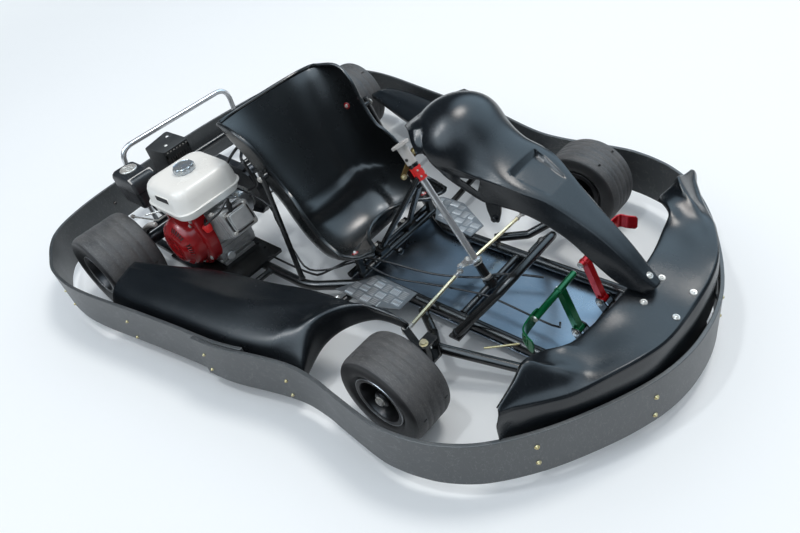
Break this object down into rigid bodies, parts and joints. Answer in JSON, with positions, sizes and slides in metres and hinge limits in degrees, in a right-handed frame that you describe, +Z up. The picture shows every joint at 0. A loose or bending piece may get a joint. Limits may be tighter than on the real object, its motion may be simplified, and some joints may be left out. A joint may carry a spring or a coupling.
{
  "type": "go-kart",
  "caption": "Indoor rental go-kart with a wrap-round bumper, moulded seat, rear engine with chain drive, pedals and a steering column that ends in a bare hub.",
  "frame": {"origin": "on the floor under the middle of the bumper ring", "axes": "+X towards the kart's front, +Y to the driver's left, +Z up"},
  "size_m": [2.076, 1.464, 0.62],
  "materials": {
    "black_painted_steel": "gloss black powder coat",
    "black_moulded_plastic": "satin moulded",
    "black_gloss_plastic": "gloss moulded",
    "black_bumper_plastic": "satin extruded",
    "aluminium": "rolled sheet",
    "cast_aluminium": "as cast",
    "red_plastic": "moulded",
    "red_painted_steel": "gloss red paint",
    "green_painted_steel": "gloss green paint",
    "white_painted_steel": "gloss white paint",
    "light_grey_paint": "worn light grey",
    "bright_steel": "bright",
    "yellow_zinc": "yellow zinc plating",
    "dark_alloy": "dark satin alloy",
    "tyre_rubber": "worn slick",
    "black_rubber": "sheathed cable"
  },
  "bodies": {
    "chassis": {"main_rail_right": "black_painted_steel", "main_rail_left": "black_painted_steel", "front_bumper_bar": "black_painted_steel", "rear_bumper_bar": "black_painted_steel", "engine_cradle": "black_painted_steel", "seat_cross_tube": "black_painted_steel", "steering_hoop": "black_painted_steel", "kingpin_yoke_right": "black_painted_steel", "kingpin_yoke_left": "black_painted_steel", "steering_support": "black_painted_steel", "lower_steering_bearing": "black_painted_steel", "pedal_bracket": "black_painted_steel", "seat_stay_right": "black_painted_steel", "seat_stay_left": "black_painted_steel", "axle_bearing_right": "black_painted_steel", "axle_bearing_left": "black_painted_steel", "muffler": "black_painted_steel", "nose_cover": "black_moulded_plastic", "steering_fairing": "black_moulded_plastic", "side_pod_right": "black_moulded_plastic", "side_pod_left": "black_moulded_plastic", "air_filter": "black_moulded_plastic", "seat": "black_gloss_plastic", "front_bumper_strip": "black_bumper_plastic", "rear_bumper_strip": "black_bumper_plastic", "floor_tray": "aluminium", "tread_plate_right": "aluminium", "tread_plate_left": "aluminium", "brake_caliper": "aluminium", "engine_block": "cast_aluminium", "steering_block": "red_plastic", "fan_shroud": "red_painted_steel", "fuel_tank": "white_painted_steel", "rear_hoop": "bright_steel", "drive_chain": "bright_steel", "throttle_cable": "black_rubber", "brake_hose": "black_rubber"},
    "axle_set": {"rear_axle": "bright_steel", "rear_rim_right": "dark_alloy", "rear_rim_left": "dark_alloy", "rear_tyre_right": "tyre_rubber", "rear_tyre_left": "tyre_rubber", "axle_sprocket": "bright_steel", "brake_disc": "bright_steel"},
    "clutch": {"clutch_drum": "bright_steel"},
    "stub_right": {"stub_axle_right": "black_painted_steel"},
    "stub_left": {"stub_axle_left": "black_painted_steel"},
    "front_wheel_right": {"front_rim_right": "dark_alloy", "front_tyre_right": "tyre_rubber"},
    "front_wheel_left": {"front_rim_left": "dark_alloy", "front_tyre_left": "tyre_rubber"},
    "tie_right": {"tie_rod_right": "yellow_zinc"},
    "tie_left": {"tie_rod_left": "yellow_zinc"},
    "steering": {"steering_shaft": "bright_steel", "steering_hub": "light_grey_paint"},
    "throttle": {"throttle_pedal": "green_painted_steel"},
    "brake": {"brake_pedal": "red_painted_steel"},
    "cap": {"fuel_cap": "bright_steel"},
    "starter_handle": {"recoil_handle": "red_plastic"}
  },
  "joints": [
    {"name": "steering_turn", "type": "hinge", "parent": "chassis", "child": "steering", "pos_m": [0.452, 0, 0.07], "axis": [-0.518, 0, 0.8554], "range_deg": [-50, 50]},
    {"name": "kingpin_right", "type": "hinge", "parent": "chassis", "child": "stub_right", "pos_m": [0.497, -0.33, 0.127], "axis": [0, 0, 1], "range_deg": [-20.6, 20.6]},
    {"name": "kingpin_left", "type": "hinge", "parent": "chassis", "child": "stub_left", "pos_m": [0.497, 0.33, 0.127], "axis": [0, 0, 1], "range_deg": [-20.6, 20.6]},
    {"name": "tie_rod_right_swing", "type": "hinge", "parent": "stub_right", "child": "tie_right", "pos_m": [0.379, -0.28, 0.0925], "axis": [0, 0, 1], "range_deg": [-27.6, 27.6]},
    {"name": "tie_rod_left_swing", "type": "hinge", "parent": "stub_left", "child": "tie_left", "pos_m": [0.379, 0.28, 0.0925], "axis": [0, 0, 1], "range_deg": [-27.6, 27.6]},
    {"name": "front_right_roll", "type": "hinge", "parent": "stub_right", "child": "front_wheel_right", "pos_m": [0.497, -0.45, 0.127], "axis": [0, 1, 0], "continuous": true},
    {"name": "front_left_roll", "type": "hinge", "parent": "stub_left", "child": "front_wheel_left", "pos_m": [0.497, 0.45, 0.127], "axis": [0, 1, 0], "continuous": true},
    {"name": "rear_axle_roll", "type": "hinge", "parent": "chassis", "child": "axle_set", "pos_m": [-0.63, 0, 0.137], "axis": [0, 1, 0], "continuous": true},
    {"name": "clutch_turn", "type": "hinge", "parent": "chassis", "child": "clutch", "pos_m": [-0.408, -0.166, 0.199], "axis": [0, 1, 0], "continuous": true},
    {"name": "throttle_press", "type": "hinge", "parent": "chassis", "child": "throttle", "pos_m": [0.752, -0.045, 0.085], "axis": [0, 1, 0], "range_deg": [0, 22], "stiffness_Nm_per_rad": 3, "springref_deg": -14.32},
    {"name": "brake_press", "type": "hinge", "parent": "chassis", "child": "brake", "pos_m": [0.752, 0.075, 0.085], "axis": [0, 1, 0], "range_deg": [0, 22], "stiffness_Nm_per_rad": 3, "springref_deg": -14.32},
    {"name": "fuel_cap_turn", "type": "hinge", "parent": "chassis", "child": "cap", "pos_m": [-0.389, -0.314, 0.412], "axis": [0, 0, 1], "range_deg": [0, 90]},
    {"name": "starter_pull", "type": "slide", "parent": "chassis", "child": "starter_handle", "axis": [0.35, -0.9367, 0], "range_m": [0, 0.25], "stiffness_N_per_m": 10, "springref_m": -0.05}
  ],
  "couplings": [
    {"joint": "kingpin_right", "follows": "steering_turn", "ratio": 0.41},
    {"joint": "kingpin_left", "follows": "steering_turn", "ratio": 0.41},
    {"joint": "tie_rod_right_swing", "follows": "steering_turn", "ratio": -0.55},
    {"joint": "tie_rod_left_swing", "follows": "steering_turn", "ratio": -0.55},
    {"joint": "clutch_turn", "follows": "rear_axle_roll", "ratio": 2.6667}
  ]
}
